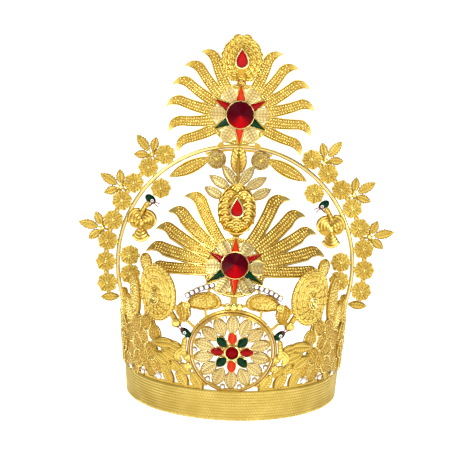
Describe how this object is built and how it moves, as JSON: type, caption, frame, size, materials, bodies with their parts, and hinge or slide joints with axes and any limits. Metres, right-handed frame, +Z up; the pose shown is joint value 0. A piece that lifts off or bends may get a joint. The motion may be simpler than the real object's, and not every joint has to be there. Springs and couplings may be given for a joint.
{
  "type": "mukut crown",
  "caption": "Tall openwork gilt crown: half-ring band and pierced wall, a leaning feather fan, an arch of rosettes and a second fan on top, set with red stones, enamel and crystals",
  "frame": {"origin": "middle of the ring that the half-ring band is part of, level with the band's foot", "axes": "-Y is the way the crown faces, +Z is up, +X is to the right seen from the front"},
  "size_m": [0.1806, 0.067, 0.2099],
  "materials": {
    "gold": "bright gilt, granulated",
    "orange_enamel": "glossy orange enamel",
    "red_enamel": "glossy red enamel",
    "green_enamel": "glossy dark green enamel",
    "dark_red_stone": "cut, foiled at the back",
    "red_stone": "cut, foiled at the back",
    "white_crystal": "cut, foiled at the back"
  },
  "bodies": {
    "root": {"arch_hanging": "gold", "arch_wire": "gold", "base_band": "gold", "centre_medallion": "gold", "crest_stones_left": "white_crystal", "crest_stones_right": "white_crystal", "end_leaf_left": "gold", "end_leaf_right": "gold", "front_panel_left": "gold", "front_panel_right": "gold", "high_peacock_head_left": "green_enamel", "high_peacock_head_right": "green_enamel", "high_peacock_left": "gold", "high_peacock_right": "gold", "inner_rosette_left": "gold", "inner_rosette_right": "gold", "leaf_cone": "gold", "leaf_cone_stone": "red_stone", "low_peacock_head_left": "green_enamel", "low_peacock_head_right": "green_enamel", "low_peacock_left": "gold", "low_peacock_right": "gold", "lower_fan": "gold", "lower_fan_rays_green": "green_enamel", "lower_fan_rays_orange": "orange_enamel", "lower_fan_rays_red": "red_enamel", "lower_fan_stone": "dark_red_stone", "lower_inner_rosettes_left": "gold", "lower_inner_rosettes_right": "gold", "lower_spray_left": "gold", "lower_spray_right": "gold", "medallion_crest": "gold", "medallion_petals_green": "green_enamel", "medallion_petals_orange": "orange_enamel", "medallion_petals_red": "red_enamel", "medallion_rhinestones": "white_crystal", "medallion_stone": "dark_red_stone", "middle_spray_left": "gold", "middle_spray_right": "gold", "rosette_chain_left": "gold", "rosette_chain_right": "gold", "side_panel_left": "gold", "side_panel_right": "gold", "top_fan": "gold", "top_fan_rays_green": "green_enamel", "top_fan_rays_orange": "orange_enamel", "top_fan_rays_red": "red_enamel", "top_fan_stone": "dark_red_stone", "top_leaf": "gold", "top_leaf_stone": "red_stone", "upper_spray_left": "gold", "upper_spray_right": "gold", "wall_stones_left": "white_crystal", "wall_stones_right": "white_crystal"}
  },
  "joints": []
}
